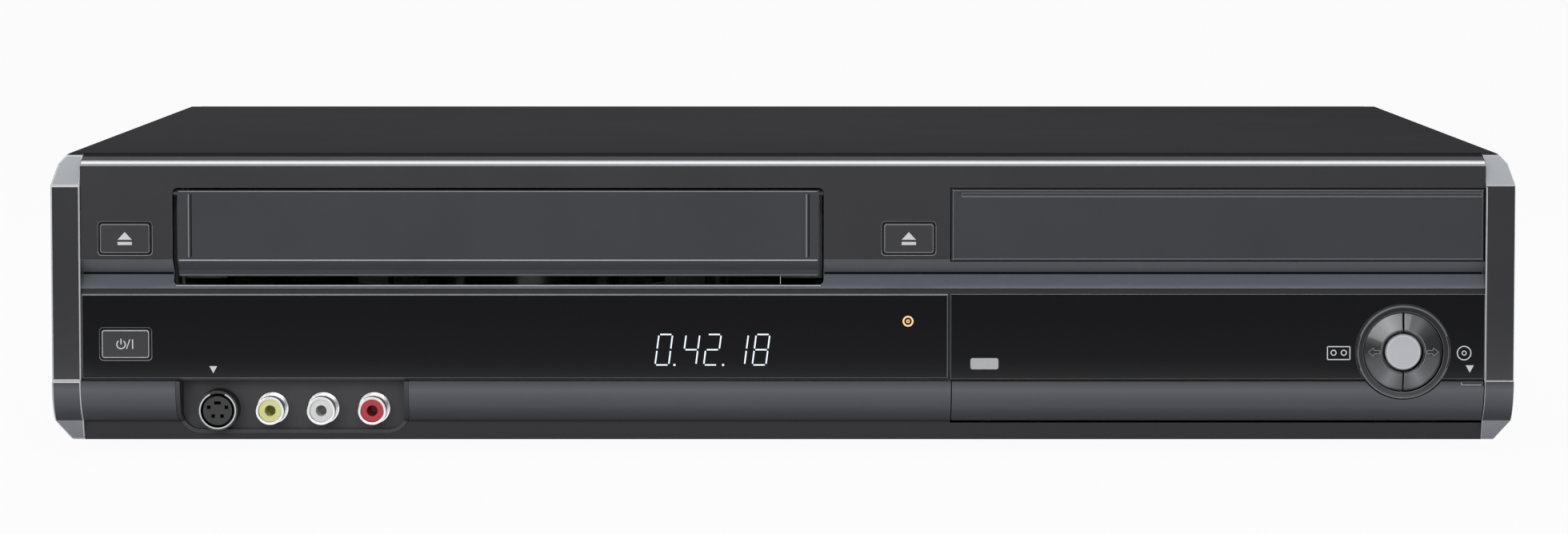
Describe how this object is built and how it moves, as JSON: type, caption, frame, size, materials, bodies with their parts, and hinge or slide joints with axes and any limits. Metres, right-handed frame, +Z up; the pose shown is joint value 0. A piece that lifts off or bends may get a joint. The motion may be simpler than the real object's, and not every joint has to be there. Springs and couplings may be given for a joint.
{
  "type": "disc and cassette player",
  "caption": "Full-width home player with a cassette deck behind a swing-in flap and a sliding disc tray, round copying dial, front sockets and drop-down control flap.",
  "frame": {"origin": "on the standing surface under the middle of the overall box", "axes": "+Z up, +Y to the back, +X to the right seen from the front"},
  "size_m": [0.43, 0.35, 0.088],
  "materials": {
    "cover_paint": "fine matt texture",
    "chassis_steel": "zinc plated",
    "fascia_plastic": "satin",
    "cap_plastic": "satin metallic",
    "window_plastic": "polished",
    "flap_plastic": "satin",
    "key_plastic": "satin",
    "dial_plastic": "spun gloss",
    "centre_key_plastic": "silver",
    "recess_plastic": "matt",
    "socket_metal": "plated",
    "yellow_plastic": "moulded",
    "white_plastic": "moulded",
    "red_plastic": "moulded",
    "black_plastic": "moulded",
    "mechanism_steel": "ground",
    "drum_aluminium": "turned",
    "mechanism_plastic": "moulded",
    "reel_plastic": "moulded",
    "roller_rubber": "ground",
    "foot_rubber": "moulded",
    "board_laminate": "solder mask",
    "display_glass": "smoked glass",
    "screw_steel": "blackened"
  },
  "bodies": {
    "case": {"top_cover": "cover_paint", "bottom_chassis": "chassis_steel", "rear_panel": "chassis_steel", "front_bezel": "fascia_plastic", "left_end_cap": "cap_plastic", "right_end_cap": "cap_plastic", "display_window": "window_plastic", "dial_window": "window_plastic", "jack_panel": "recess_plastic", "feet": "foot_rubber", "case_screws": "screw_steel", "dial_surround": "dial_plastic", "control_pocket": "recess_plastic", "usb_socket": "socket_metal", "jack_shells": "socket_metal", "video_insulator": "yellow_plastic", "audio_left_insulator": "white_plastic", "audio_right_insulator": "red_plastic", "s_video_socket": "black_plastic", "deck_chassis": "mechanism_steel", "lower_drum": "drum_aluminium", "drive_frame": "mechanism_plastic", "pickup_rods": "mechanism_steel", "clamp_bridge": "mechanism_steel", "front_board": "board_laminate", "display_module": "display_glass", "main_board": "board_laminate", "power_board": "board_laminate", "rear_socket_blocks": "black_plastic", "rear_jack_shells": "socket_metal", "mains_inlet": "black_plastic", "fan_frame": "black_plastic"},
    "eject_button": {"eject_button": "key_plastic"},
    "tray_button": {"tray_button": "key_plastic"},
    "power_button": {"power_button": "key_plastic"},
    "copy_left_button": {"copy_left_button": "dial_plastic"},
    "copy_right_button": {"copy_right_button": "dial_plastic"},
    "copy_button": {"copy_button": "centre_key_plastic"},
    "control_flap": {"control_flap": "flap_plastic"},
    "channel_button": {"channel_button": "key_plastic"},
    "stop_button": {"stop_button": "key_plastic"},
    "play_button": {"play_button": "key_plastic"},
    "record_button": {"record_button": "key_plastic"},
    "cassette_flap": {"cassette_flap": "flap_plastic"},
    "cassette_holder": {"cassette_holder": "mechanism_steel"},
    "holder_slider": {"holder_slider": "mechanism_steel"},
    "upper_drum": {"upper_drum": "drum_aluminium"},
    "capstan": {"capstan": "mechanism_steel"},
    "pinch_arm": {"pinch_arm": "mechanism_steel"},
    "pinch_roller": {"pinch_roller": "roller_rubber"},
    "supply_reel": {"supply_reel": "reel_plastic"},
    "takeup_reel": {"takeup_reel": "reel_plastic"},
    "loading_gear": {"loading_gear": "reel_plastic"},
    "turntable": {"turntable": "mechanism_plastic"},
    "pickup": {"pickup": "mechanism_plastic"},
    "clamp_puck": {"clamp_puck": "reel_plastic"},
    "fan_rotor": {"fan_rotor": "black_plastic"},
    "disc_tray": {"disc_tray": "mechanism_plastic", "tray_front": "flap_plastic"}
  },
  "joints": [
    {"name": "eject_press", "type": "slide", "parent": "case", "child": "eject_button", "axis": [0, 1, 0], "range_m": [0, 0.0006], "stiffness_N_per_m": 600},
    {"name": "tray_press", "type": "slide", "parent": "case", "child": "tray_button", "axis": [0, 1, 0], "range_m": [0, 0.0006], "stiffness_N_per_m": 600},
    {"name": "power_press", "type": "slide", "parent": "case", "child": "power_button", "axis": [0, 1, 0], "range_m": [0, 0.0006], "stiffness_N_per_m": 600},
    {"name": "copy_left_press", "type": "slide", "parent": "case", "child": "copy_left_button", "axis": [0, 1, 0], "range_m": [0, 0.0006], "stiffness_N_per_m": 600},
    {"name": "copy_right_press", "type": "slide", "parent": "case", "child": "copy_right_button", "axis": [0, 1, 0], "range_m": [0, 0.0006], "stiffness_N_per_m": 600},
    {"name": "copy_press", "type": "slide", "parent": "case", "child": "copy_button", "axis": [0, 1, 0], "range_m": [0, 0.0006], "stiffness_N_per_m": 600},
    {"name": "channel_press", "type": "slide", "parent": "case", "child": "channel_button", "axis": [0, 1, 0], "range_m": [0, 0.0006], "stiffness_N_per_m": 600},
    {"name": "stop_press", "type": "slide", "parent": "case", "child": "stop_button", "axis": [0, 1, 0], "range_m": [0, 0.0006], "stiffness_N_per_m": 600},
    {"name": "play_press", "type": "slide", "parent": "case", "child": "play_button", "axis": [0, 1, 0], "range_m": [0, 0.0006], "stiffness_N_per_m": 600},
    {"name": "record_press", "type": "slide", "parent": "case", "child": "record_button", "axis": [0, 1, 0], "range_m": [0, 0.0006], "stiffness_N_per_m": 600},
    {"name": "cassette_flap_swing", "type": "hinge", "parent": "case", "child": "cassette_flap", "pos_m": [-0.08365, -0.1718, 0.0766], "axis": [1, 0, 0], "range_deg": [0, 85], "stiffness_Nm_per_rad": 0.01, "springref_deg": -17.19},
    {"name": "control_flap_drop", "type": "hinge", "parent": "case", "child": "control_flap", "pos_m": [0.128, -0.1675, 0.0106], "axis": [1, 0, 0], "range_deg": [0, 88]},
    {"name": "holder_slide", "type": "slide", "parent": "case", "child": "holder_slider", "axis": [0, 1, 0], "range_m": [0, 0.06]},
    {"name": "holder_lower", "type": "slide", "parent": "holder_slider", "child": "cassette_holder", "axis": [0, 0, -1], "range_m": [0, 0.016]},
    {"name": "tray_slide", "type": "slide", "parent": "case", "child": "disc_tray", "axis": [0, -1, 0], "range_m": [0, 0.135]},
    {"name": "loading_gear_turn", "type": "hinge", "parent": "case", "child": "loading_gear", "pos_m": [0.0798, -0.138, 0.059], "axis": [0, 0, 1], "range_deg": [0, 780]},
    {"name": "turntable_spin", "type": "hinge", "parent": "case", "child": "turntable", "pos_m": [0.1278, -0.096, 0.06], "axis": [0, 0, 1], "continuous": true},
    {"name": "clamp_spin", "type": "hinge", "parent": "case", "child": "clamp_puck", "pos_m": [0.1278, -0.096, 0.079], "axis": [0, 0, 1], "continuous": true},
    {"name": "pickup_slide", "type": "slide", "parent": "case", "child": "pickup", "axis": [0, 1, 0], "range_m": [0, 0.034]},
    {"name": "drum_spin", "type": "hinge", "parent": "case", "child": "upper_drum", "pos_m": [-0.08365, 0.049, 0.0291], "axis": [0, -0.104, 0.9946], "continuous": true},
    {"name": "capstan_spin", "type": "hinge", "parent": "case", "child": "capstan", "pos_m": [-0.04565, 0.002, 0.03], "axis": [0, 0, 1], "continuous": true},
    {"name": "pinch_arm_swing", "type": "hinge", "parent": "case", "child": "pinch_arm", "pos_m": [-0.02165, 0.016, 0.052], "axis": [0, 0, 1], "range_deg": [0, 30]},
    {"name": "pinch_roller_spin", "type": "hinge", "parent": "pinch_arm", "child": "pinch_roller", "pos_m": [-0.04503, 0.0235, 0.044], "axis": [0, 0, 1], "continuous": true},
    {"name": "supply_spin", "type": "hinge", "parent": "case", "child": "supply_reel", "pos_m": [-0.1194, -0.045, 0.03], "axis": [0, 0, 1], "continuous": true},
    {"name": "takeup_spin", "type": "hinge", "parent": "case", "child": "takeup_reel", "pos_m": [-0.0479, -0.045, 0.03], "axis": [0, 0, 1], "continuous": true},
    {"name": "fan_spin", "type": "hinge", "parent": "case", "child": "fan_rotor", "pos_m": [-0.103, 0.158, 0.05], "axis": [0, 1, 0], "continuous": true}
  ],
  "couplings": [
    {"joint": "loading_gear_turn", "follows": "tray_slide", "rad_per_m": 100}
  ]
}
